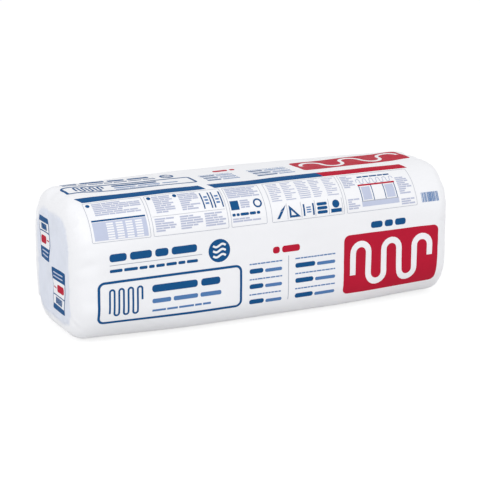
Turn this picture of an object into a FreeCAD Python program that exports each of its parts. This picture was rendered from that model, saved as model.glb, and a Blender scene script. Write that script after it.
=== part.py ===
"""Bag of unfaced fibreglass batts: eleven compressed batts in a tight polyethylene film bag.

The batts lie flat on one another, long side along X.  The film closes round the whole
stack.  Origin: centre of the bag's flat underside.  +X along the batts, +Z up.
"""
import FreeCAD, Part
import Sketcher
import os

BATT_COUNT = 11

# Driving dimensions, millimetres: (alias, value, what it is)
SIZES = [
    ("batt_length", 1219.2, "length of one batt, along X"),
    ("batt_width", 406.4, "width of one batt, along Y"),
    ("packed_thickness", 36.6, "thickness of one batt as squeezed in the bag, along Z"),
    ("layer_gap", 0.5, "gap between two batts that lie on one another"),
    ("film_clearance", 0.5, "gap between the batts and the inside of the film"),
    ("film_thickness", 1.0, "thickness of the film's wall"),
    ("top_edge_radius", 115.0, "outer radius of the two long top edges"),
    ("bottom_edge_radius", 85.0, "outer radius of the two long bottom edges"),
    ("end_edge_radius", 66.0, "outer radius of the rim round each end"),
]

TOLERANCE = 1e-4

# A long edge spans more than this along its own axis, and less across it
LEAST_SPAN = 1.0

doc = FreeCAD.newDocument("batt_bag")


def make_sheet():
    sheet = doc.addObject("Spreadsheet::Sheet", "sizes")
    for row, (alias, value, meaning) in enumerate(SIZES, start=1):
        sheet.set(f"A{row}", meaning)
        sheet.set(f"B{row}", str(value))
        sheet.setAlias(f"B{row}", alias)
    doc.recompute()
    return sheet


def origin_plane(body, role):
    for feature in body.Origin.OriginFeatures:
        if feature.Role == role:
            return feature
    raise RuntimeError(f"{body.Label} has no {role}")


def add_rectangle(sketch, length, width):
    """Rectangle centred on the sketch's origin, its sides bound to two expressions."""
    point = FreeCAD.Vector
    corners = [point(-200, -100, 0), point(200, -100, 0), point(200, 100, 0), point(-200, 100, 0)]
    for start, end in zip(corners, corners[1:] + corners[:1]):
        sketch.addGeometry(Part.LineSegment(start, end), False)
    for side in range(4):
        following = (side + 1) % 4
        sketch.addConstraint(Sketcher.Constraint("Coincident", side, 2, following, 1))
    for side in (0, 2):
        sketch.addConstraint(Sketcher.Constraint("Horizontal", side))
    for side in (1, 3):
        sketch.addConstraint(Sketcher.Constraint("Vertical", side))
    sketch.addConstraint(Sketcher.Constraint("Symmetric", 0, 1, 2, 1, -1, 1))
    along = sketch.addConstraint(Sketcher.Constraint("DistanceX", 0, 1, 0, 2, 400.0))
    across = sketch.addConstraint(Sketcher.Constraint("DistanceY", 1, 1, 1, 2, 200.0))
    sketch.setExpression(f"Constraints[{along}]", length)
    sketch.setExpression(f"Constraints[{across}]", width)


def edges_where(shape, wanted):
    """Names of the edges whose bounding box passes the test."""
    return [f"Edge{number}" for number, edge in enumerate(shape.Edges, start=1) if wanted(edge.BoundBox)]


def add_fillet(body, base, name, edge_names, radius):
    fillet = body.newObject("PartDesign::Fillet", name)
    fillet.Base = (base, edge_names)
    fillet.setExpression("Radius", radius)
    doc.recompute()
    return fillet


def soft_block(name, inset):
    """The bag's outer shape, drawn in on every side by the expression `inset`.

    Its flat underside lies at z = inset.
    """
    body = doc.addObject("PartDesign::Body", name)
    body.setExpression(".Placement.Base.z", inset)
    sketch = body.newObject("Sketcher::SketchObject", f"{name}_outline")
    sketch.AttachmentSupport = (origin_plane(body, "XY_Plane"), [""])
    sketch.MapMode = "FlatFace"
    wall = "sizes.film_clearance + sizes.film_thickness"
    add_rectangle(
        sketch,
        f"sizes.batt_length + 2 * ({wall}) - 2 * ({inset})",
        f"sizes.batt_width + 2 * ({wall}) - 2 * ({inset})",
    )
    pad = body.newObject("PartDesign::Pad", f"{name}_pad")
    pad.Profile = sketch
    stack = f"{BATT_COUNT} * sizes.packed_thickness + {BATT_COUNT - 1} * sizes.layer_gap"
    pad.setExpression("Length", f"{stack} + 2 * ({wall}) - 2 * ({inset})")
    doc.recompute()

    box = pad.Shape.BoundBox
    bottom = edges_where(pad.Shape, lambda b: b.XLength > LEAST_SPAN and b.ZMax < box.ZMin + TOLERANCE)
    lower = add_fillet(body, pad, f"{name}_bottom_edges", bottom, f"sizes.bottom_edge_radius - ({inset})")
    top = edges_where(
        lower.Shape,
        lambda b: b.XLength > LEAST_SPAN > b.YLength and b.ZMin > box.ZMax - LEAST_SPAN,
    )
    upper = add_fillet(body, lower, f"{name}_top_edges", top, f"sizes.top_edge_radius - ({inset})")
    rims = edges_where(upper.Shape, lambda b: b.XLength < TOLERANCE)
    add_fillet(body, upper, f"{name}_end_rims", rims, f"sizes.end_edge_radius - ({inset})")
    return body


def make_film():
    """Closed film bag: the outer shape less the hollow that the batts fill."""
    outside = soft_block("bag_outside", "0")
    hollow = soft_block("bag_hollow", "sizes.film_thickness")
    film = doc.addObject("Part::Cut", "film_bag")
    film.Base = outside
    film.Tool = hollow
    return film


def make_batts():
    """Flat layers of the squeezed stack, the lowest first.

    Each layer is cut out by a box twice as long and as wide as the stack, so only its height counts.
    """
    stack = soft_block("batt_stack", "sizes.film_thickness + sizes.film_clearance")
    batts = []
    for layer in range(BATT_COUNT):
        number = layer + 1
        slab = doc.addObject("Part::Box", f"layer_{number:02d}")
        slab.setExpression("Length", "2 * sizes.batt_length")
        slab.setExpression("Width", "2 * sizes.batt_width")
        slab.setExpression("Height", "sizes.packed_thickness")
        slab.setExpression(".Placement.Base.x", "-sizes.batt_length")
        slab.setExpression(".Placement.Base.y", "-sizes.batt_width")
        pitch = "(sizes.packed_thickness + sizes.layer_gap)"
        slab.setExpression(
            ".Placement.Base.z",
            f"sizes.film_thickness + sizes.film_clearance + {layer} * {pitch}",
        )
        batt = doc.addObject("Part::Common", f"batt_{number:02d}")
        batt.Base = stack
        batt.Tool = slab
        batts.append(batt)
    return batts


def check_document(sub_parts):
    for item in doc.Objects:
        if "Invalid" in item.State or "Error" in item.State:
            raise RuntimeError(f"{item.Label} failed: {item.State}")
    for item in sub_parts:
        if item.Shape.isNull() or not item.Shape.isValid() or len(item.Shape.Solids) != 1:
            raise RuntimeError(f"{item.Label} isn't one valid solid")


make_sheet()
sub_parts = [make_film()] + make_batts()
doc.recompute()
check_document(sub_parts)

os.makedirs("parts", exist_ok=True)
for item in sub_parts:
    item.Shape.exportStep(f"parts/{item.Label}.step")
    box = item.Shape.BoundBox
    print(f"{item.Label}: {box.XLength:.1f} x {box.YLength:.1f} x {box.ZLength:.1f} mm,"
          f" volume {item.Shape.Volume / 1e6:.3f} L")
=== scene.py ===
"""Looks of a tight white film bag of fibreglass batts: the film, its print, its folded ends, the batts.

Metres, in the CAD frame: +X along the bag, -Y out of the front, +Z up, the floor at z = 0.
The print lives in flat coordinates: x along the bag, and v up the front, over the top and down
the back, measured on the film.  v equals z on the flat of the front.
"""
import math

import bmesh
import bpy
import numpy as np
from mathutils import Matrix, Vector
from mathutils.bvhtree import BVHTree
from mathutils.geometry import tessellate_polygon


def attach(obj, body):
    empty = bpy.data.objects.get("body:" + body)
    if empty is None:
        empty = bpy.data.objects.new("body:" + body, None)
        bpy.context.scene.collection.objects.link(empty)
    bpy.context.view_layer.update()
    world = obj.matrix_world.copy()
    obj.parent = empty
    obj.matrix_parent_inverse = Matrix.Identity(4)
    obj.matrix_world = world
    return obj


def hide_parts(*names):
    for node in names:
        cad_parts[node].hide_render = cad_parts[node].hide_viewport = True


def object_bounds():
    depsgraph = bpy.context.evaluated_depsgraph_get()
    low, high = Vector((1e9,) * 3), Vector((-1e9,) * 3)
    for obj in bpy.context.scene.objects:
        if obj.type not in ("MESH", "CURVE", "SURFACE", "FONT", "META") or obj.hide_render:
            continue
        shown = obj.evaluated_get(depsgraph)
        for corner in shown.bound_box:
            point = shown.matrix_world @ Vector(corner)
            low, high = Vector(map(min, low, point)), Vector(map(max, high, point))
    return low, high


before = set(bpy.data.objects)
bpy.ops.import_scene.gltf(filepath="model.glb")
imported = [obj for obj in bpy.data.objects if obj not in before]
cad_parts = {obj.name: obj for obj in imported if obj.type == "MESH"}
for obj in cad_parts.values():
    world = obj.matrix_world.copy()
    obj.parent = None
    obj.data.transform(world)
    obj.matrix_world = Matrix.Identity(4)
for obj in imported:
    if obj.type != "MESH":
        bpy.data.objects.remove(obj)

CAD_LOW, CAD_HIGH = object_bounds()
BATT_COUNT = 11

# The bag's section: its rounding midway along, and towards the ends, where the film draws in
HALF_LENGTH = CAD_HIGH.x
HALF_WIDTH = CAD_HIGH.y
HEIGHT = CAD_HIGH.z
TOP_RADIUS, TOP_RADIUS_END = 0.111, 0.146
BOTTOM_RADIUS, BOTTOM_RADIUS_END = 0.090, 0.126
DRAW_IN_START = 0.215

# Each end: a rounded rim (at the sides, top, underside), a narrow flat, then a creased panel
LEFT_RIM = (0.062, 0.036, 0.044)
RIGHT_RIM = (0.048, 0.032, 0.028)
PANEL_INSET_SIDE, PANEL_INSET_TOP, PANEL_INSET_BOTTOM = 0.080, 0.060, 0.046
END_X = HALF_LENGTH - 0.0025
PANEL_MIDDLE = (HEIGHT - PANEL_INSET_TOP + PANEL_INSET_BOTTOM) / 2

# How far the faces crown
SIDE_CROWN = 0.004
TOP_CROWN = 0.002
PANEL_CROWN = 0.003

# Waves of the film: (height, wavelength, seed), and for the panels (height, wavelength)
BROAD_WAVE = (0.0007, 0.20, 3)
FINE_WAVE = (0.0003, 0.06, 4)
END_WAVE = (0.0006, 0.045, 5)
PANEL_BROAD_WAVE = (0.0010, 0.10)
PANEL_FINE_WAVE = (0.0004, 0.035)

# Heights and depths at the ends: puckers and crease round the panel, its lower lip, the corner folds
PUCKER_HEIGHT = 0.0014
CREASE_DEPTH = 0.0017
LIP_HEIGHT, DITCH_DEPTH = 0.0036, 0.0026
CORNER_FOLD_HEIGHT = 0.0022

# Upright fold low on each panel: its height and half width, where it stands at FOLD_Z, and how it leans
FOLD_HEIGHT, FOLD_WIDTH = 0.0022, 0.006
FOLD_Y, FOLD_Z, FOLD_LEAN = 0.038, 0.10, 0.25

# Mesh of the film before it is subdivided once
COLUMNS = 220
RING_PITCH = 0.024
RIM_RINGS = 10
FLAT_RINGS = 3
PANEL_RINGS = 12

# Cloth simulation of the film over the ends: it is free from FREE_AT on and held up to FREE_FROM,
# it starts SLACK too large there, and no point may move by more than MOST_MOVE
CLOTH_FRAMES = 16
FREE_FROM, FREE_AT = 0.42, 0.54
SLACK = 0.06
MOST_MOVE = 0.006

# Batts: how far they stay inside the film at the sides and ends, and under and over the stack,
# and how much wider they are midway along, as a share of their width
BATT_CLEAR = 0.011
STACK_CLEAR = 0.008
BATT_SWELL = 0.030
BATT_COLUMNS = 192
BATT_CORNER_POWER = 0.16

# Each layer of ink lies INK_LIFT above the one below, and is INK_DEPTH thick
INK_LIFT = 0.0004
INK_DEPTH = 0.0005

# Print wider than a cell is cut into cells DICE_ALONG by DICE_ACROSS, so that it bends with the film.
# Past DICE_FINE_FROM, where the film rounds off to its end, cells are DICE_ACROSS each way.
DICE_ALONG = 0.018
DICE_ACROSS = 0.006
DICE_FINE_FROM = 0.545
PRINT_SEED = 30

FILM_WHITE = (0.86, 0.86, 0.875)
# Bluish grey of the end panels: partly the colour of the film lying in two layers, partly painted shade
FILM_DOUBLING_AND_SHADE = (0.70, 0.73, 0.81)
WOOL_CREAM = (0.80, 0.77, 0.66)
INK_COLOURS = {
    "blue": (0.011, 0.083, 0.232),
    "red": (0.47, 0.014, 0.038),
    "white": FILM_WHITE,
    "tint": (0.52, 0.56, 0.70),
    "pale_blue": (0.09, 0.20, 0.42),
    "violet": (0.47, 0.50, 0.63),
    "grey": (0.42, 0.44, 0.50),
}

CAMERA_AZIMUTH = math.radians(-26.26)
CAMERA_ELEVATION = math.radians(14.66)
CAMERA_DISTANCE = 4.815
CAMERA_LENS = 119.6
LOOK_RIGHT = -0.0143
LOOK_UP = -0.0031


# ---------------------------------------------------------------- plain shape of the bag

def smooth_step(low, high, value):
    t = np.clip((value - low) / (high - low), 0, 1)
    return t * t * (3 - 2 * t)


def radii(x):
    """Top and bottom rounding of the section at x."""
    grow = smooth_step(DRAW_IN_START, HALF_LENGTH, np.abs(x))
    top = TOP_RADIUS + (TOP_RADIUS_END - TOP_RADIUS) * grow
    return top, BOTTOM_RADIUS + (BOTTOM_RADIUS_END - BOTTOM_RADIUS) * grow


def section_lengths(x):
    """Lengths along half the section, bottom to top: flat, arc, flat, arc, flat."""
    top, bottom = radii(x)
    quarter = math.pi / 2
    return [HALF_WIDTH - bottom, bottom * quarter, HEIGHT - top - bottom, top * quarter, HALF_WIDTH - top]


def section(x, share):
    """Points (y, z) and outward normals on the section at x.

    `share` runs from 0 at the middle of the underside, up the front, over the top and down the back to 1.
    """
    top, bottom = radii(x)
    ends = np.cumsum(section_lengths(x), axis=0)
    half = ends[4]
    a = np.mod(share, 1) * 2 * half
    back = a > half
    a = np.where(back, 2 * half - a, a)
    low_turn = (a - ends[0]) / bottom
    top_turn = (a - ends[2]) / top
    stretch = [a < ends[0], a < ends[1], a < ends[2], a < ends[3]]
    ny = np.select(stretch, [0 * a, -np.sin(low_turn), 0 * a - 1, -np.cos(top_turn)], 0.0)
    nz = np.select(stretch, [0 * a - 1, -np.cos(low_turn), 0 * a, np.sin(top_turn)], 1.0)
    y = np.select(
        stretch,
        [-a, bottom - HALF_WIDTH + bottom * ny, 0 * a - HALF_WIDTH, top - HALF_WIDTH + top * ny],
        a - half,
    )
    z = np.select(
        stretch,
        [0 * a, bottom + bottom * nz, bottom + a - ends[1], HEIGHT - top + top * nz],
        HEIGHT,
    )
    side = np.where(back, -1.0, 1.0)
    return y * side, z, ny * side, nz


def by_direction(ny, nz, side, top, bottom):
    """Blend of the values for the front and back, the top, and the underside."""
    return ny ** 2 * side + nz ** 2 * np.where(nz > 0, top, bottom)


def rim_size(x, share):
    """Radius of the rim of the nearer end."""
    _, _, ny, nz = section(HALF_LENGTH + 0 * share, share)
    return np.where(x < 0, by_direction(ny, nz, *LEFT_RIM), by_direction(ny, nz, *RIGHT_RIM))


def plain_film(x, share):
    """Points and normals of the bag before it crowns and puckers, up to the flat of its ends."""
    y, z, ny, nz = section(x, share)
    rim = rim_size(x, share)
    over = np.clip((np.abs(x) - (END_X - rim)) / rim, 0, 1)
    along = np.sqrt(1 - over ** 2)
    drawn = rim * (1 - along)
    points = np.stack([x, y - ny * drawn, z - nz * drawn], 1)
    return points, np.stack([np.sign(x) * over, ny * along, nz * along], 1)


# ---------------------------------------------------------------- relief of the film

def ripple(points, wavelength, seed, waves=9):
    """Smooth random relief of about unit size and the given wavelength."""
    rng = np.random.default_rng(seed)
    total = np.zeros(len(points))
    for _ in range(waves):
        heading = rng.normal(size=3)
        heading /= np.linalg.norm(heading)
        length = wavelength * rng.uniform(0.7, 1.5)
        total += np.cos(points @ heading * (2 * math.pi / length) + rng.uniform(0, 2 * math.pi))
    return total / math.sqrt(waves / 2)


def wave(points, height, wavelength, seed):
    return height * ripple(points, wavelength, seed)


def bump_at(distance, width):
    return np.exp(-(distance / width) ** 2)


def body_relief(points, normals):
    """Crown of the faces, and slight ripples that run mostly along the bag."""
    x, y, z = points.T
    ny, nz = normals[:, 1], normals[:, 2]
    along = np.clip(1 - (x / HALF_LENGTH) ** 2, 0, 1)
    up = 1 - ((z - HEIGHT / 2) / (HEIGHT / 2)) ** 2
    across = 1 - (y / HALF_WIDTH) ** 2
    crown = along * (SIDE_CROWN * np.abs(ny) * up + TOP_CROWN * np.maximum(nz, 0) * across)
    waves = wave(points * (0.7, 1, 1), *BROAD_WAVE) + wave(points * (0.4, 1, 1), *FINE_WAVE)
    waves += smooth_step(0.45, 0.60, np.abs(x)) * wave(points, *END_WAVE)
    return crown + waves * (1 - np.maximum(-nz, 0))


def gathers(share, seed):
    """Puckers round an end, in clusters: 0 is smooth film, 1 about the crest of a pucker."""
    rng = np.random.default_rng(seed)
    turn = share * 2 * math.pi
    fine = sum(np.cos(k * turn + rng.uniform(0, 7)) for k in rng.integers(26, 56, 5)) / 2.2
    broad = sum(np.cos(k * turn + rng.uniform(0, 7)) for k in rng.integers(3, 14, 5)) / 2.2
    return fine * smooth_step(-0.6, 1.0, broad)


def end_relief(inward, share, ny, nz, seed):
    """Puckers, crease and lip about the panel's outline; `inward` is the distance inside it."""
    lower = smooth_step(0.3, 0.95, -nz)
    reach = np.where(inward > 0, 0.009, 0.022)
    relief = PUCKER_HEIGHT * gathers(share, seed) * bump_at(inward, reach)
    relief -= CREASE_DEPTH * bump_at(inward, 0.0040)
    lip = LIP_HEIGHT * bump_at(inward - 0.007, 0.006)
    relief += lower * (lip - DITCH_DEPTH * bump_at(inward + 0.007, 0.006))
    corner = np.abs(ny) - np.abs(nz)
    folds = bump_at(corner, 0.10) - 0.7 * bump_at(corner - 0.22, 0.10)
    folds *= smooth_step(0.0, -0.012, inward) * smooth_step(-0.075, -0.03, inward)
    return relief - CORNER_FOLD_HEIGHT * folds


def panel_relief(side, y, z, seed):
    """How far an end panel stands out over its flat: crown, slack waves, and an upright fold."""
    reach_y = np.clip(1 - (y / (HALF_WIDTH - PANEL_INSET_SIDE)) ** 2, 0, 1)
    reach_z = np.clip(1 - ((z - PANEL_MIDDLE) / (PANEL_MIDDLE - PANEL_INSET_BOTTOM)) ** 2, 0, 1)
    points = np.stack([0 * y, y, z], 1)
    waves = wave(points, *PANEL_BROAD_WAVE, seed) + wave(points, *PANEL_FINE_WAVE, seed + 1)
    off_line = -side * y - FOLD_Y - FOLD_LEAN * (z - FOLD_Z)
    groove = 0.8 * bump_at(off_line - 2 * FOLD_WIDTH, FOLD_WIDTH)
    fold = FOLD_HEIGHT * (bump_at(off_line, FOLD_WIDTH) - groove)
    fold *= smooth_step(0.150, 0.105, z)
    level = np.sqrt(reach_y * reach_z)
    return level * (PANEL_CROWN * level + waves) + fold * np.minimum(1, 4 * reach_z)


# ---------------------------------------------------------------- film

def end_rings(side, share, seed):
    """Rings from the start of the rim to near the middle of the panel, and how far each is tinted bluish grey
    (two layers of film, and painted shade).
    """
    _, _, ny, nz = section(HALF_LENGTH + 0 * share, share)
    rim = rim_size(side, share)
    inset = by_direction(ny, nz, PANEL_INSET_SIDE, PANEL_INSET_TOP, PANEL_INSET_BOTTOM)
    rings = []
    tints = []

    def add(points, normals, inward, flat_share):
        relief = body_relief(points, normals) * (1 - flat_share) + end_relief(inward, share, ny, nz, seed)
        if flat_share >= 1:
            relief = relief + panel_relief(side, points[:, 1], points[:, 2], seed)
        rings.append(points + normals * relief[:, None])
        # Share of the bluish grey at each point: the film's two layers over the panel, and painted shade
        # there
        tints.append(smooth_step(-0.012, 0.004, inward + 0.002 * ripple(points, 0.04, seed)))

    for step in range(1, RIM_RINGS + 1):
        turn = step / RIM_RINGS * math.pi / 2
        points, normals = plain_film(side * (END_X - rim * (1 - math.sin(turn))), share)
        add(points, normals, rim - inset - (math.pi / 2 - turn) * rim, math.sin(turn) ** 4 * 0.999)
    edge = points
    facing = normals
    towards = np.stack([0 * ny, -ny, -nz], 1)
    for step in range(1, FLAT_RINGS + 1):
        inward = (rim - inset) * (1 - step / FLAT_RINGS)
        add(edge + towards * (inset - rim + inward)[:, None], facing, inward, 1)
    outline = edge + towards * (inset - rim)[:, None]
    middle = np.array([[side * END_X, 0, PANEL_MIDDLE]])
    reach = np.linalg.norm(outline - middle, axis=1)
    for step in range(1, PANEL_RINGS + 1):
        part = (step / (PANEL_RINGS + 1)) ** 1.6
        add(outline + (middle - outline) * part, facing, part * reach, 1)
    middle[0, 0] += side * panel_relief(side, middle[:, 1], middle[:, 2], seed)[0]
    return rings, tints, middle[0]


def body_rings(share):
    start = rim_size(-1, share) - END_X
    end = END_X - rim_size(1, share)
    count = round(2 * HALF_LENGTH / RING_PITCH)
    rings = []
    for part in np.linspace(0, 1, count + 1):
        points, normals = plain_film(start + (end - start) * part, share)
        rings.append(points + normals * body_relief(points, normals)[:, None])
    return rings


def make_film():
    """The film as one closed skin, from the middle of one end panel to the middle of the other."""
    share = np.arange(COLUMNS) / COLUMNS
    left, left_tints, left_middle = end_rings(-1, share, 21)
    right, right_tints, right_middle = end_rings(1, share, 31)
    body = body_rings(share)
    rings = left[::-1] + body + right
    tints = left_tints[::-1] + [0 * share] * len(body) + right_tints
    points = np.concatenate([[left_middle], *rings, [right_middle]])
    points[:, 2] = np.maximum(points[:, 2], 0)

    def at(ring, column):
        return 1 + ring * COLUMNS + column % COLUMNS

    last = len(rings) - 1
    faces = []
    for column in range(COLUMNS):
        faces.append((0, at(0, column + 1), at(0, column)))
        faces.append((len(points) - 1, at(last, column), at(last, column + 1)))
        for ring in range(last):
            following = (at(ring + 1, column + 1), at(ring + 1, column))
            faces.append((at(ring, column), at(ring, column + 1)) + following)
    film = mesh_piece("film_skin", points, faces)
    # Per-point share of the ends' bluish grey: two layers of film, and painted shade
    tint = film.data.attributes.new("end_tint", "FLOAT", "POINT")
    tint.data.foreach_set("value", np.concatenate([[1], *tints, [1]]).astype(np.float32))
    film.data.materials.append(film_material())
    return film


def add_cloth(film, held, slack):
    """Cloth modifier that puffs the film gently, held and slackened by the two vertex groups."""
    cloth = film.modifiers.new("settle", "CLOTH")
    cloth.collision_settings.use_collision = False
    settings = cloth.settings
    settings.quality = 5
    settings.mass = 0.1
    settings.air_damping = 2
    settings.tension_stiffness = 18
    settings.compression_stiffness = 18
    settings.shear_stiffness = 8
    settings.bending_stiffness = 0.1
    settings.effector_weights.gravity = 0
    settings.use_pressure = True
    settings.uniform_pressure_force = 2.0
    settings.vertex_group_mass = held.name
    settings.pin_stiffness = 1.0
    settings.vertex_group_shrink = slack.name
    settings.shrink_min = 0.0
    settings.shrink_max = -SLACK
    return cloth


def settle_film(film):
    """Cloth simulation: the film, a little slack over the ends, creases there under a slight pressure."""
    mesh = film.data
    start = np.empty(3 * len(mesh.vertices))
    mesh.vertices.foreach_get("co", start)
    x, y, z = start.reshape(-1, 3).T
    free = smooth_step(FREE_FROM, FREE_AT, np.abs(x)) * smooth_step(0.004, 0.05, z)
    from_middle = np.hypot(y, z - PANEL_MIDDLE)
    panel = smooth_step(END_X - 0.002, END_X, np.abs(x)) * smooth_step(0.15, 0.06, from_middle)
    held = film.vertex_groups.new(name="held")
    slack = film.vertex_groups.new(name="slack")
    for index, (share, inner) in enumerate(zip(free, panel)):
        held.add([index], 1 - (0.96 - 0.5 * float(inner)) * float(share), "REPLACE")
        slack.add([index], float(share), "REPLACE")
    cloth = add_cloth(film, held, slack)
    scene = bpy.context.scene
    for number in range(1, CLOTH_FRAMES + 1):
        scene.frame_set(number)
    settled = film.evaluated_get(bpy.context.evaluated_depsgraph_get()).data
    end = np.empty_like(start)
    settled.vertices.foreach_get("co", end)
    moved = (end - start).reshape(-1, 3)
    size = np.linalg.norm(moved, axis=1)
    moved *= (MOST_MOVE * np.tanh(size / MOST_MOVE) / np.maximum(size, 1e-9))[:, None]
    film.modifiers.remove(cloth)
    scene.frame_set(1)
    mesh.vertices.foreach_set("co", start + moved.reshape(-1))
    mesh.update()


def subdivide_once(piece):
    piece.modifiers.new("smooth", "SUBSURF").levels = 1
    graph = bpy.context.evaluated_depsgraph_get()
    finer = bpy.data.meshes.new_from_object(piece.evaluated_get(graph), depsgraph=graph)
    piece.modifiers.clear()
    piece.data = finer


def mesh_piece(name, points, faces):
    mesh = bpy.data.meshes.new(name)
    mesh.from_pydata([tuple(p) for p in points], [], faces)
    work = bmesh.new()
    work.from_mesh(mesh)
    bmesh.ops.recalc_face_normals(work, faces=work.faces)
    work.to_mesh(mesh)
    work.free()
    mesh.shade_smooth()
    piece = bpy.data.objects.new(name, mesh)
    bpy.context.scene.collection.objects.link(piece)
    return piece


# ---------------------------------------------------------------- batts inside the film

def batt_half_sizes(z):
    """Half length and half width that the film leaves at height z, towards its ends."""
    top, bottom = TOP_RADIUS_END, BOTTOM_RADIUS_END
    low = max(bottom - z, 0)
    high = max(z - (HEIGHT - top), 0)
    width = HALF_WIDTH - BATT_CLEAR
    width -= bottom - math.sqrt(bottom ** 2 - low ** 2)
    width -= top - math.sqrt(top ** 2 - high ** 2)
    rim = max(LEFT_RIM)
    near = min(max(rim - z, z - (HEIGHT - rim), 0) / rim, 1)
    length = HALF_LENGTH - BATT_CLEAR - rim * (1 - math.sqrt(1 - near ** 2))
    return length, width


def batt_ring(length, width, z, seed):
    """Plan outline of a batt at one height: a rectangle with soft corners, a little wider midway along."""
    turn = np.linspace(0, 2 * math.pi, BATT_COLUMNS, endpoint=False)
    x = length * np.sign(np.cos(turn)) * np.abs(np.cos(turn)) ** BATT_CORNER_POWER
    y = width * np.sign(np.sin(turn)) * np.abs(np.sin(turn)) ** BATT_CORNER_POWER
    points = np.stack([x, y * (1 + BATT_SWELL * smooth_step(0.50, 0.36, np.abs(x))), z + 0 * x], 1)
    points[:, :2] *= (1 - 0.002 * (1 + ripple(points, 0.12, seed)))[:, None]
    return points


def make_batt(layer):
    """One squeezed batt: rings from its underside to its top, drawn in a little at both."""
    pitch = (HEIGHT - 2 * STACK_CLEAR) / BATT_COUNT
    bottom = STACK_CLEAR + layer * pitch
    rings = []
    for share, draw in ((0.02, 0.05), (0.06, 0.01), (0.3, 0), (0.7, 0), (0.94, 0.01), (0.98, 0.05)):
        z = bottom + share * pitch
        length, width = batt_half_sizes(z)
        rings.append(batt_ring(length - draw * pitch, width - draw * pitch, z, layer))
    points = [p for ring in rings for p in ring]
    faces = [tuple(range(BATT_COLUMNS)), tuple(range(len(points) - BATT_COLUMNS, len(points)))]
    for ring in range(len(rings) - 1):
        first = ring * BATT_COLUMNS
        above = first + BATT_COLUMNS
        for column in range(BATT_COLUMNS):
            following = (column + 1) % BATT_COLUMNS
            faces.append((first + column, first + following, above + following, above + column))
    batt = mesh_piece(f"batt_{layer + 1:02d}_wool", points, faces)
    batt.data.materials.append(wool_material())
    return batt


# ---------------------------------------------------------------- print: shapes in flat coordinates

def place_on_body(flat):
    """Print coordinates (x, v) to points and normals of the plain bag."""
    x, v = flat.T
    bottom_flat, bottom_arc, *_ = lengths = section_lengths(x)
    start = bottom_flat + bottom_arc - radii(x)[1]
    return plain_film(x, (v + start) / (2 * sum(lengths)))


def place_on_back(flat):
    """The same print turned half round, so that it is upright on the back."""
    points, normals = place_on_body(flat)
    turned = np.array([-1, -1, 1])
    return points * turned, normals * turned


def place_on_end(side):
    """Placing function for the end at x = side * HALF_LENGTH: (across, up) seen from outside."""
    def place(flat):
        across, up = flat.T
        points = np.stack([0 * up + side * HALF_LENGTH, across * side, up], 1)
        return points, np.stack([0 * up + side, 0 * up, 0 * up], 1)
    return place


class Ink:
    """Flat shapes of one colour, each with the function that places it on the bag."""

    def __init__(self):
        self.shapes = []

    def add(self, place, *loops):
        self.shapes.append((place, [np.asarray(loop, float) for loop in loops]))


def rectangle(left, low, right, high):
    return [(left, low), (right, low), (right, high), (left, high)]


def leaning_bar(left, low, right, high, lean):
    return [(left, low), (right, low), (right + lean, high), (left + lean, high)]


def rounded(left, low, right, high, radius, steps=7):
    corners = ((right, high, 0), (left, high, 1), (left, low, 2), (right, low, 3))
    points = []
    for u, v, quarter in corners:
        centre_u = u - radius if u == right else u + radius
        centre_v = v - radius if v == high else v + radius
        for step in range(steps + 1):
            angle = (quarter + step / steps) * math.pi / 2
            points.append((centre_u + radius * math.cos(angle), centre_v + radius * math.sin(angle)))
    return points


def disc(u, v, radius, steps=28):
    turn = np.linspace(0, 2 * math.pi, steps, endpoint=False)
    return np.stack([u + radius * np.cos(turn), v + radius * np.sin(turn)], 1)


def ribbon(path, width):
    """Outline of a stroke of even width along a path."""
    path = np.asarray(path, float)
    heading = np.gradient(path, axis=0)
    heading /= np.linalg.norm(heading, axis=1)[:, None]
    left = np.stack([-heading[:, 1], heading[:, 0]], 1) * width / 2
    return np.concatenate([path - left, (path + left)[::-1]])


def batt_symbol(left, low, right, high, bends, steps=10):
    """The serpentine that stands for batt insulation on drawings, as a path."""
    pitch = (right - left) / bends
    radius = pitch / 2
    path = [(left, low + radius)]
    for bend in range(bends):
        up = bend % 2 == 0
        centre_u = left + pitch * (bend + 0.5)
        centre_v = high - radius if up else low + radius
        for step in range(steps + 1):
            angle = math.pi * (1 - step / steps)
            rise = radius * math.sin(angle)
            path.append((centre_u + radius * math.cos(angle), centre_v + (rise if up else -rise)))
    path.append((right, (low + high) / 2))
    return path


# ---------------------------------------------------------------- print: the design
# Places are (x, v) in metres; on the ends they are (across, up) seen from outside.

def frame_lines(ink, place, left, low, right, high, radius, stroke):
    inner = rounded(left + stroke, low + stroke, right - stroke, high - stroke, radius - stroke)
    ink.add(place, rounded(left, low, right, high, radius), inner)


def word_bars(ink, place, left, low, right, height, rng, longest, gap):
    """One line of plain bars, as long as words."""
    at = left
    while at < right - longest * 0.3:
        length = min(rng.uniform(0.3, 1.0) * longest, right - at)
        if height > 0.006:
            ink.add(place, rounded(at, low, at + length, low + height, 0.38 * height, 4))
        else:
            ink.add(place, rectangle(at, low, at + length, low + height))
        at += length + gap


def text_block(ink, place, left, low, right, high, rng, pitch=0.0066, height=0.0044):
    line = high - height
    while line > low:
        end = right - rng.choice([0, 0, 0.15, 0.4]) * (right - left)
        word_bars(ink, place, left, line, end, height, rng, 0.040, 0.0022)
        line -= pitch


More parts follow.
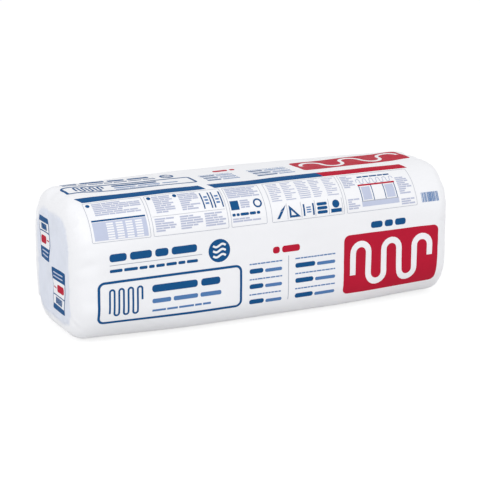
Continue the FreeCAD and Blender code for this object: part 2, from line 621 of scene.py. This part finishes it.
def main_panel(inks, place, left, low, right, high, rng):
    """Outlined panel: a batt symbol, one bold line of bars and two lighter ones."""
    tall = high - low
    frame_lines(inks["blue"], place, left, low, right, high, 0.16 * tall, 0.0072)
    symbol_right = left + 0.30 * (right - left)
    path = batt_symbol(left + 0.035, low + 0.20 * tall, symbol_right, high - 0.20 * tall, 7)
    inks["blue"].add(place, ribbon(path, 0.0055))
    first = symbol_right + 0.030
    pale = inks["pale_blue"]
    word_bars(inks["blue"], place, first, low + 0.62 * tall, right - 0.07, 0.17 * tall, rng, 0.15, 0.011)
    word_bars(pale, place, first, low + 0.37 * tall, right - 0.04, 0.10 * tall, rng, 0.09, 0.008)
    word_bars(pale, place, first, low + 0.18 * tall, right - 0.10, 0.045 * tall, rng, 0.05, 0.004)


def red_panel(inks, place, left, low, right, high):
    """Solid red panel with a bold white batt symbol."""
    tall = high - low
    inks["red"].add(place, rounded(left, low, right, high, 0.10 * tall))
    path = batt_symbol(left + 0.17 * tall, low + 0.17 * tall, right - 0.17 * tall, high - 0.17 * tall, 5)
    inks["white"].add(place, ribbon(path, 0.105 * tall))


def title_bars(inks, place, left, low, right, high, rng):
    """A round badge of waves, a bold line of bars, a rule and a small line."""
    tall = high - low
    radius = tall / 2
    inks["blue"].add(place, disc(right - radius, low + radius, radius))
    for row in range(3):
        level = low + tall * (0.28 + 0.22 * row)
        across = np.linspace(-0.58, 0.58, 14) * radius
        wave = level + 0.06 * tall * np.sin(across / radius * 5.5)
        inks["white"].add(place, ribbon(np.stack([right - radius + across, wave], 1), 0.09 * tall))
    bars_right = right - tall - 0.020
    word_bars(inks["blue"], place, left, low + 0.58 * tall, bars_right, 0.33 * tall, rng, 0.11, 0.010)
    inks["grey"].add(place, rectangle(left, low + 0.42 * tall, bars_right, low + 0.45 * tall))
    word_bars(inks["blue"], place, left, low + 0.13 * tall, bars_right, 0.13 * tall, rng, 0.045, 0.005)


def data_rows(inks, place, left, low, right, high, rng):
    """Three rows, each a fine line of bars over a bold bar and a pale one."""
    row_tall = (high - low) / 3
    radius = 0.14 * row_tall
    for row in range(3):
        level = low + row * row_tall
        bold = left + rng.uniform(0.36, 0.56) * (right - left)
        pale_top = level + 0.22 * row_tall
        fine = level + 0.58 * row_tall
        inks["blue"].add(place, rounded(left, level, bold, level + 0.31 * row_tall, radius, 4))
        inks["pale_blue"].add(place, rounded(bold + 0.006, level, right, pale_top, 0.7 * radius, 4))
        word_bars(inks["pale_blue"], place, left, fine, right, 0.08 * row_tall, rng, 0.016, 0.002)


def front_print(inks, place, rng):
    title_bars(inks, place, -0.520, 0.207, -0.150, 0.275, rng)
    main_panel(inks, place, -0.556, 0.064, -0.112, 0.192, rng)
    word_bars(inks["red"], place, -0.012, 0.211, 0.094, 0.020, rng, 0.06, 0.008)
    data_rows(inks, place, -0.088, 0.067, 0.018, 0.205, rng)
    inks["grey"].add(place, rectangle(0.0385, 0.066, 0.0405, 0.200))
    data_rows(inks, place, 0.062, 0.067, 0.196, 0.205, rng)
    red_panel(inks, place, 0.226, 0.054, 0.557, 0.237)
    word_bars(inks["blue"], place, 0.318, 0.250, 0.440, 0.020, rng, 0.07, 0.008)


def top_print(inks, place, rng):
    title_bars(inks, place, -0.560, 0.592, -0.215, 0.634, rng)
    main_panel(inks, place, -0.578, 0.505, -0.181, 0.580, rng)
    word_bars(inks["red"], place, -0.086, 0.604, 0.005, 0.014, rng, 0.05, 0.008)
    data_rows(inks, place, -0.150, 0.506, -0.045, 0.586, rng)
    data_rows(inks, place, 0.010, 0.498, 0.135, 0.592, rng)
    red_panel(inks, place, 0.170, 0.505, 0.552, 0.614)


def outline_box(ink, place, left, low, right, high):
    frame_lines(ink, place, left, low, right, high, 0.004, 0.0012)


def data_table(inks, place, left, low, right, high, columns, rows):
    """Tinted table: a dark head bar over a tint with white cells."""
    inks["tint"].add(place, rectangle(left, low, right, high - 0.010))
    inks["blue"].add(place, rectangle(left, high - 0.008, right, high - 0.003))
    wide = (right - left) / (columns + 1.6)
    tall = (high - 0.014 - low) / rows
    for column in range(columns):
        for row in range(rows):
            u = left + (1.4 + column) * wide
            v = low + row * tall
            inks["white"].add(place, rectangle(u, v + 0.2 * tall, u + 0.72 * wide, v + 0.85 * tall))


def stud_bay(inks, place, left, low, right, high):
    """Two studs with a stack of short layers between them."""
    wide, tall = right - left, high - low
    inks["blue"].add(place, rectangle(left, low, left + 0.14 * wide, high))
    inks["blue"].add(place, rectangle(right - 0.14 * wide, low, right, high))
    for row in range(3):
        level = low + (0.25 + 0.20 * row) * tall
        layer = rectangle(left + 0.30 * wide, level, right - 0.30 * wide, level + 0.10 * tall)
        inks["pale_blue"].add(place, layer)


def roof_section(inks, place, left, low, right, high):
    """Section of a plain wall and ceiling: posts, two filled bays, a red line under batts, a tinted floor."""
    tall = high - low
    inks["tint"].add(place, rectangle(left, low, right, low + 0.16 * tall))
    inks["grey"].add(place, rectangle(left, low + 0.16 * tall, right, low + 0.19 * tall))
    for share in (0.02, 0.34, 0.66, 0.97):
        u = left + share * (right - left)
        inks["blue"].add(place, rectangle(u - 0.0012, low + 0.19 * tall, u + 0.0012, low + 0.72 * tall))
    for share in (0.06, 0.70):
        u = left + share * (right - left)
        inks["tint"].add(place, rectangle(u, low + 0.22 * tall, u + 0.23 * (right - left), low + 0.68 * tall))
    inks["red"].add(place, rectangle(left, low + 0.72 * tall, right, low + 0.78 * tall))
    path = batt_symbol(left, low + 0.80 * tall, right, high, 11)
    inks["violet"].add(place, ribbon(path, 0.0022))


def step_mark(inks, place, u, v, kind):
    """Small pictograms of a generic kind: knife, batts, set square, pressing plate, finished bay."""
    blue = inks["blue"]
    if kind == 0:
        blue.add(place, leaning_bar(u - 0.014, v - 0.018, u - 0.005, v + 0.003, 0.014))
        blue.add(place, [(u - 0.001, v + 0.004), (u + 0.010, v + 0.004), (u + 0.019, v + 0.020)])
    elif kind == 1:
        for level in (-0.017, -0.005, 0.007):
            blue.add(place, rounded(u - 0.018, v + level, u + 0.016, v + level + 0.009, 0.004, 4))
    elif kind == 2:
        blue.add(place, [(u - 0.018, v - 0.018), (u + 0.018, v - 0.018), (u - 0.018, v + 0.018)],
                 [(u - 0.012, v - 0.012), (u + 0.004, v - 0.012), (u - 0.012, v + 0.004)])
    elif kind == 3:
        blue.add(place, disc(u, v + 0.007, 0.012, 20))
        blue.add(place, rectangle(u - 0.018, v - 0.018, u + 0.018, v - 0.007))
    else:
        stud_bay(inks, place, u - 0.018, v - 0.018, u + 0.018, v + 0.016)


def table_box(inks, place, rng):
    """First box: a dot and fine lines over a table."""
    inks["blue"].add(place, disc(-0.552, 0.420, 0.006, 18))
    text_block(inks["violet"], place, -0.540, 0.378, -0.402, 0.426, rng)
    data_table(inks, place, -0.557, 0.309, -0.400, 0.372, 4, 7)


def bays_box(inks, place, rng):
    """Second box: dotted text and two stud bays over a rule and three columns of text."""
    for left, right in ((-0.378, -0.306), (-0.300, -0.228)):
        inks["blue"].add(place, disc(left + 0.005, 0.421, 0.006, 18))
        text_block(inks["violet"], place, left + 0.014, 0.366, right, 0.426, rng)
    stud_bay(inks, place, -0.220, 0.366, -0.192, 0.420)
    stud_bay(inks, place, -0.186, 0.366, -0.158, 0.420)
    inks["grey"].add(place, rectangle(-0.380, 0.3585, -0.157, 0.3595))
    for left, right in ((-0.376, -0.308), (-0.300, -0.232), (-0.224, -0.160)):
        text_block(inks["violet"], place, left, 0.312, right, 0.353, rng)


def marks_box(inks, place, rng):
    """Third box: text, a plain square, a plain ring and a line of bars."""
    violet = inks["violet"]
    text_block(violet, place, -0.138, 0.388, -0.038, 0.427, rng)
    inks["blue"].add(place, rectangle(-0.138, 0.352, -0.112, 0.380))
    text_block(violet, place, -0.106, 0.352, -0.074, 0.380, rng)
    inks["blue"].add(place, disc(-0.052, 0.366, 0.014), disc(-0.052, 0.366, 0.009))
    word_bars(inks["blue"], place, -0.138, 0.334, -0.050, 0.008, rng, 0.03, 0.003)
    text_block(violet, place, -0.138, 0.311, -0.050, 0.328, rng)


def steps_box(inks, place, rng):
    """Fourth box: five columns, each of text over a pictogram."""
    for column in range(5):
        left = -0.004 + 0.046 * column
        text_block(inks["violet"], place, left, 0.362, left + 0.038, 0.426, rng, height=0.0030)
        step_mark(inks, place, left + 0.020, 0.330, (column * 2) % 5)
        inks["grey"].add(place, rectangle(left + 0.0410, 0.308, left + 0.0422, 0.354))


def section_box(inks, place, rng):
    """Fifth box: a wall section with text about it."""
    violet = inks["violet"]
    roof_section(inks, place, 0.290, 0.318, 0.420, 0.408)
    text_block(violet, place, 0.243, 0.380, 0.282, 0.425, rng)
    text_block(violet, place, 0.243, 0.312, 0.282, 0.345, rng)
    text_block(violet, place, 0.428, 0.340, 0.475, 0.400, rng)
    text_block(violet, place, 0.428, 0.310, 0.475, 0.328, rng)
    word_bars(inks["blue"], place, 0.300, 0.414, 0.415, 0.005, rng, 0.03, 0.003)


def information_panel(inks, place, rng):
    """Panel that wraps the long top edge: head bars over five outlined boxes."""
    low, high = 0.3035, 0.432
    head_low, head_high, head_lean = 0.437, 0.463, -0.014
    for ink, left, right in (("blue", -0.562, -0.190), ("blue", -0.162, 0.196), ("red", 0.196, 0.494)):
        inks[ink].add(place, leaning_bar(left, head_low, right, head_high, head_lean))
    boxes = ((-0.565, -0.393), (-0.385, -0.152), (-0.144, -0.030), (-0.014, 0.228), (0.236, 0.483))
    for left, right in boxes:
        outline_box(inks["grey"], place, left, low, right, high)
    for fill_box in (table_box, bays_box, marks_box, steps_box, section_box):
        fill_box(inks, place, rng)


def bar_strip(ink, place, left, low, right, high, rng):
    """Upright bars of mixed widths, as on a scanner label, with no digits."""
    at = left
    while at < right:
        width = rng.choice([0.0012, 0.0020, 0.0032, 0.0042])
        ink.add(place, rectangle(at, low, min(at + width, right), high))
        at += width + rng.choice([0.0010, 0.0016, 0.0024])


def end_label(inks, place, left, low, right, high, flipped, rng):
    """Blue label on an end panel: a white field of bars, a red block, pale lines."""
    def turned(flat):
        middle = np.array([(left + right) / 2, (low + high) / 2])
        return place(2 * middle - flat if flipped else flat)

    wide, tall = right - left, high - low
    blue, edge = inks["blue"], 0.0035
    blue.add(turned, rounded(left, low, right, high, 0.005, 4))
    inks["white"].add(turned, rectangle(left + edge, low + 0.37 * tall, right - edge, low + 0.72 * tall))
    inks["white"].add(turned, rectangle(left + edge, low + 0.13 * tall, right - edge, low + 0.34 * tall))
    inks["red over white"].add(turned, rounded(
        left + 0.40 * wide, low + 0.46 * tall, right - 0.10 * wide, low + 0.64 * tall, 0.007, 5))
    inks["red over white"].add(turned, rectangle(
        left + 0.10 * wide, low + 0.52 * tall, left + 0.32 * wide, low + 0.55 * tall))
    bar_strip(inks["blue over white"], turned,
              left + 0.22 * wide, low + 0.16 * tall, right - 0.22 * wide, low + 0.31 * tall, rng)
    for row in range(2):
        level = low + (0.79 + 0.09 * row) * tall
        inks["tint over blue"].add(turned, rectangle(
            left + 0.12 * wide, level, right - 0.2 * wide, level + 0.03 * tall))


def end_print(inks, side, rng):
    place = place_on_end(side)
    end_label(inks, place, -0.103, 0.200, -0.026, 0.328, True, rng)
    end_label(inks, place, -0.005, 0.072, 0.092, 0.195, False, rng)


def make_inks():
    """All the print as flat shapes, by ink; the inks `over` another lie on top of it."""
    inks = {name: Ink() for name in (
        *INK_COLOURS, "red over white", "blue over white", "tint over blue")}
    rng = np.random.default_rng(PRINT_SEED)
    front_print(inks, place_on_body, rng)
    top_print(inks, place_on_body, rng)
    information_panel(inks, place_on_body, rng)
    bar_strip(inks["pale_blue"], place_on_body, 0.501, 0.309, 0.562, 0.339, rng)
    front_print(inks, place_on_back, rng)
    for side in (-1, 1):
        end_print(inks, side, rng)
    return inks


# ---------------------------------------------------------------- print: meshes

def triangles(loops):
    """Flat points and outward triangles that fill the first loop less the others."""
    points = np.concatenate(loops)
    found = tessellate_polygon([[Vector((u, v, 0)) for u, v in loop] for loop in loops])
    turned = []
    for a, b, c in found:
        ab, ac = points[b] - points[a], points[c] - points[a]
        turned.append((a, b, c) if ab[0] * ac[1] - ab[1] * ac[0] > 0 else (a, c, b))
    return points, turned


def diced(loops, along):
    """The filled shape cut into cells `along` by DICE_ACROSS, so that it can bend with the film."""
    points, faces = triangles(loops)
    work = bmesh.new()
    corners = [work.verts.new((u, v, 0)) for u, v in points]
    for face in faces:
        if len(set(face)) == 3:
            work.faces.new([corners[i] for i in face])
    for axis, pitch in ((0, along), (1, DICE_ACROSS)):
        first = math.ceil(points[:, axis].min() / pitch)
        last = math.floor(points[:, axis].max() / pitch)
        direction = (1, 0, 0) if axis == 0 else (0, 1, 0)
        for line in range(first, last + 1):
            cut = [line * pitch * d for d in direction]
            everything = work.verts[:] + work.edges[:] + work.faces[:]
            bmesh.ops.bisect_plane(work, geom=everything, plane_co=cut, plane_no=direction, dist=1e-7)
    work.verts.index_update()
    flat = np.array([v.co[:2] for v in work.verts])
    faces = [tuple(v.index for v in face.verts) for face in work.faces]
    work.free()
    return flat, faces


def laid_on(film_tree, points, normals, lift):
    """The points dropped along their normals onto the film, and raised by `lift`."""
    reach = 0.03
    laid = []
    for point, normal in zip(points, normals):
        normal = Vector(normal)
        start = Vector(point) + normal * reach
        hit, _, _, _ = film_tree.ray_cast(start, -normal, 2 * reach)
        laid.append((hit or Vector(point)) + normal * lift)
    return laid


def closed_layer(faces, count):
    """Faces of a thin closed layer: the upper ones, the lower ones and the walls between."""
    edges = {}
    for face in faces:
        for start, end in zip(face, face[1:] + face[:1]):
            edges[(start, end)] = True
    walls = [(end, start, start + count, end + count) for start, end in edges if (end, start) not in edges]
    lower = [tuple(i + count for i in reversed(face)) for face in faces]
    return faces + lower + walls


def ink_piece(name, shapes, lift, material, film_tree):
    points = []
    faces = []
    for place, loops in shapes:
        outline, _ = place(loops[0])
        along = DICE_ACROSS if np.abs(outline[:, 0]).max() > DICE_FINE_FROM else DICE_ALONG
        wide = np.ptp(loops[0], axis=0).max() > along
        flat, found = diced(loops, along) if wide else triangles(loops)
        base, normals = place(flat)
        first = len(points)
        points += laid_on(film_tree, base, normals, lift)
        points += laid_on(film_tree, base, normals, lift - INK_DEPTH)
        faces += [tuple(i + first for i in face) for face in closed_layer(found, len(flat))]
    mesh = bpy.data.meshes.new(name)
    mesh.from_pydata(points, [], faces)
    piece = bpy.data.objects.new(name, mesh)
    bpy.context.scene.collection.objects.link(piece)
    piece.data.materials.append(material)
    return piece


def make_print(film):
    """One piece for each layer of ink, lowest layers first."""
    inks = make_inks()
    mesh = film.data
    tree = BVHTree.FromPolygons([v.co for v in mesh.vertices], [p.vertices[:] for p in mesh.polygons])
    materials = {name: ink_material(f"ink_{name}", colour) for name, colour in INK_COLOURS.items()}
    on_film = ("blue", "pale_blue", "red", "violet", "grey", "tint")
    layers = [(f"print_{name}", name, 1, name) for name in on_film]
    layers += [
        ("print_white", "white", 2, "white"),
        ("print_label_red", "red over white", 3, "red"),
        ("print_label_blue", "blue over white", 3, "blue"),
        ("print_label_tint", "tint over blue", 2, "tint"),
    ]
    return [
        ink_piece(name, inks[ink].shapes, INK_LIFT * level, materials[colour], tree)
        for name, ink, level, colour in layers
    ]


# ---------------------------------------------------------------- materials

def new_material(name):
    material = bpy.data.materials.new(name)
    material.use_nodes = True
    nodes = material.node_tree.nodes
    return material, nodes, material.node_tree.links, nodes["Principled BSDF"]


def noise_node(nodes, links, scale, detail, stretch=(1, 1, 1)):
    where = nodes.new("ShaderNodeTexCoord")
    mapping = nodes.new("ShaderNodeMapping")
    mapping.inputs["Scale"].default_value = stretch
    noise = nodes.new("ShaderNodeTexNoise")
    noise.inputs["Scale"].default_value = scale
    noise.inputs["Detail"].default_value = detail
    links.new(where.outputs["Object"], mapping.inputs["Vector"])
    links.new(mapping.outputs["Vector"], noise.inputs["Vector"])
    return noise


def spread(nodes, links, source, low, high):
    remap = nodes.new("ShaderNodeMapRange")
    remap.inputs["From Min"].default_value = 0.3
    remap.inputs["From Max"].default_value = 0.7
    remap.inputs["To Min"].default_value = low
    remap.inputs["To Max"].default_value = high
    links.new(source, remap.inputs["Value"])
    return remap.outputs["Result"]


def tinted(nodes, links, colour, source, amount):
    """The colour, lighter and darker by `amount` where the source is high and low."""
    mix = nodes.new("ShaderNodeMix")
    mix.data_type = "RGBA"
    mix.inputs[6].default_value = tuple(c * (1 - amount) for c in colour) + (1,)
    mix.inputs[7].default_value = tuple(min(c * (1 + amount), 1) for c in colour) + (1,)
    links.new(source, mix.inputs["Factor"])
    return mix.outputs[2]


def film_material():
    """Satin polyethylene film: faintly cloudy white, bluish grey over the end panels, partly the colour of
    its two layers there and partly painted shade.
    """
    material, nodes, links, shader = new_material("film")
    cloud = noise_node(nodes, links, 7, 3)
    blotch = noise_node(nodes, links, 18, 4)
    crinkle = noise_node(nodes, links, 60, 4, (0.35, 1, 1))
    # Bluish grey on the end panels: the film's two layers, and painted shade
    end_shade_share = nodes.new("ShaderNodeAttribute")
    end_shade_share.attribute_name = "end_tint"
    mix = nodes.new("ShaderNodeMix")
    mix.data_type = "RGBA"
    links.new(end_shade_share.outputs["Fac"], mix.inputs["Factor"])
    links.new(tinted(nodes, links, FILM_WHITE, cloud.outputs["Fac"], 0.02), mix.inputs[6])
    links.new(tinted(nodes, links, FILM_DOUBLING_AND_SHADE, blotch.outputs["Fac"], 0.10), mix.inputs[7])
    links.new(mix.outputs[2], shader.inputs["Base Color"])
    links.new(spread(nodes, links, crinkle.outputs["Fac"], 0.36, 0.50), shader.inputs["Roughness"])
    shader.inputs["Specular IOR Level"].default_value = 0.3
    bump = nodes.new("ShaderNodeBump")
    bump.inputs["Strength"].default_value = 0.25
    bump.inputs["Distance"].default_value = 0.0006
    links.new(crinkle.outputs["Fac"], bump.inputs["Height"])
    links.new(bump.outputs["Normal"], shader.inputs["Normal"])
    return material


def ink_material(name, colour):
    """Ink on the film: nearly even, with the film's sheen."""
    material, nodes, links, shader = new_material(name)
    cloud = noise_node(nodes, links, 25, 3)
    links.new(tinted(nodes, links, colour, cloud.outputs["Fac"], 0.05), shader.inputs["Base Color"])
    links.new(spread(nodes, links, cloud.outputs["Fac"], 0.36, 0.46), shader.inputs["Roughness"])
    shader.inputs["Specular IOR Level"].default_value = 0.02
    return material


def wool_material():
    """Cream-white glass wool, with fine fibres that lie along the batt."""
    found = bpy.data.materials.get("glass_wool")
    if found:
        return found
    material, nodes, links, shader = new_material("glass_wool")
    fibre = noise_node(nodes, links, 220, 6, (0.15, 1, 1))
    links.new(tinted(nodes, links, WOOL_CREAM, fibre.outputs["Fac"], 0.18), shader.inputs["Base Color"])
    shader.inputs["Roughness"].default_value = 0.95
    bump = nodes.new("ShaderNodeBump")
    bump.inputs["Strength"].default_value = 0.7
    bump.inputs["Distance"].default_value = 0.002
    links.new(fibre.outputs["Fac"], bump.inputs["Height"])
    links.new(bump.outputs["Normal"], shader.inputs["Normal"])
    return material


# ---------------------------------------------------------------- studio

def make_camera():
    sin_a, cos_a = math.sin(CAMERA_AZIMUTH), math.cos(CAMERA_AZIMUTH)
    sin_e, cos_e = math.sin(CAMERA_ELEVATION), math.cos(CAMERA_ELEVATION)
    back = Vector((sin_a * cos_e, -cos_a * cos_e, sin_e))
    right = Vector((cos_a, sin_a, 0))
    up = back.cross(right)
    target = Vector((0, 0, HEIGHT / 2)) + right * LOOK_RIGHT + up * LOOK_UP
    data = bpy.data.cameras.new("camera")
    data.lens = CAMERA_LENS
    data.sensor_width = 36
    data.clip_end = 50
    camera = bpy.data.objects.new("camera", data)
    camera.location = target + back * CAMERA_DISTANCE
    camera.rotation_euler = back.to_track_quat("Z", "Y").to_euler()
    bpy.context.scene.collection.objects.link(camera)
    bpy.context.scene.camera = camera


def area_light(name, location, size, energy):
    data = bpy.data.lights.new(name, "AREA")
    data.shape = "SQUARE"
    data.size = size
    data.energy = energy
    lamp = bpy.data.objects.new(name, data)
    lamp.location = location
    aim = Vector(location) - Vector((0, 0, HEIGHT / 2))
    lamp.rotation_euler = aim.to_track_quat("Z", "Y").to_euler()
    bpy.context.scene.collection.objects.link(lamp)


def seen_directly(nodes, links):
    """1 for rays from the camera, a mirror or clear glass."""
    path = nodes.new("ShaderNodeLightPath")
    first = nodes.new("ShaderNodeMath")
    first.operation = "MAXIMUM"
    links.new(path.outputs["Is Camera Ray"], first.inputs[0])
    links.new(path.outputs["Is Glossy Ray"], first.inputs[1])
    both = nodes.new("ShaderNodeMath")
    both.operation = "MAXIMUM"
    links.new(first.outputs[0], both.inputs[0])
    links.new(path.outputs["Is Transmission Ray"], both.inputs[1])
    return both.outputs[0]


def make_floor():
    """White floor that keeps a faint shadow: part of its white is its own, the rest is light on it."""
    mesh = bpy.data.meshes.new("floor")
    half = 12
    corners = [(-half, -half, 0), (half, -half, 0), (half, half, 0), (-half, half, 0)]
    mesh.from_pydata(corners, [], [(0, 1, 2, 3)])
    floor = bpy.data.objects.new("floor", mesh)
    floor.location.z = -0.0005
    bpy.context.scene.collection.objects.link(floor)
    material, nodes, links, shader = new_material("floor")
    nodes.remove(shader)
    lit = nodes.new("ShaderNodeBsdfDiffuse")
    lit.inputs["Color"].default_value = (0.80, 0.80, 0.80, 1)
    shown = nodes.new("ShaderNodeBsdfDiffuse")
    shown.inputs["Color"].default_value = (0.30, 0.30, 0.30, 1)
    glow = nodes.new("ShaderNodeEmission")
    glow.inputs["Strength"].default_value = 0.78
    both = nodes.new("ShaderNodeAddShader")
    links.new(shown.outputs[0], both.inputs[0])
    links.new(glow.outputs[0], both.inputs[1])
    mix = nodes.new("ShaderNodeMixShader")
    links.new(seen_directly(nodes, links), mix.inputs["Fac"])
    links.new(lit.outputs[0], mix.inputs[1])
    links.new(both.outputs[0], mix.inputs[2])
    links.new(mix.outputs[0], nodes["Material Output"].inputs["Surface"])
    floor.data.materials.append(material)


def make_world():
    world = bpy.data.worlds.new("studio")
    world.use_nodes = True
    nodes, links = world.node_tree.nodes, world.node_tree.links
    plain = nodes["Background"]
    plain.inputs["Color"].default_value = (0.97, 0.98, 1.0, 1)
    plain.inputs["Strength"].default_value = 0.80
    shown = nodes.new("ShaderNodeBackground")
    shown.inputs["Color"].default_value = (1, 1, 1, 1)
    mix = nodes.new("ShaderNodeMixShader")
    links.new(seen_directly(nodes, links), mix.inputs["Fac"])
    links.new(plain.outputs[0], mix.inputs[1])
    links.new(shown.outputs[0], mix.inputs[2])
    links.new(mix.outputs[0], nodes["World Output"].inputs["Surface"])
    bpy.context.scene.world = world


def make_studio():
    make_camera()
    make_floor()
    make_world()
    area_light("key", location=(1.2, -3.4, 2.8), size=2.4, energy=38)
    area_light("fill", location=(-3.2, -1.6, 2.2), size=2.4, energy=36)
    bpy.context.scene.view_settings.view_transform = "Standard"


# ---------------------------------------------------------------- the bag

def make_bag():
    film = make_film()
    settle_film(film)
    subdivide_once(film)
    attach(film, "root")
    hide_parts("film_bag")
    for layer in range(BATT_COUNT):
        batt = make_batt(layer)
        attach(batt, "root")
        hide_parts(f"batt_{layer + 1:02d}")
    for ink in make_print(film):
        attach(ink, "root")


make_bag()
make_studio()
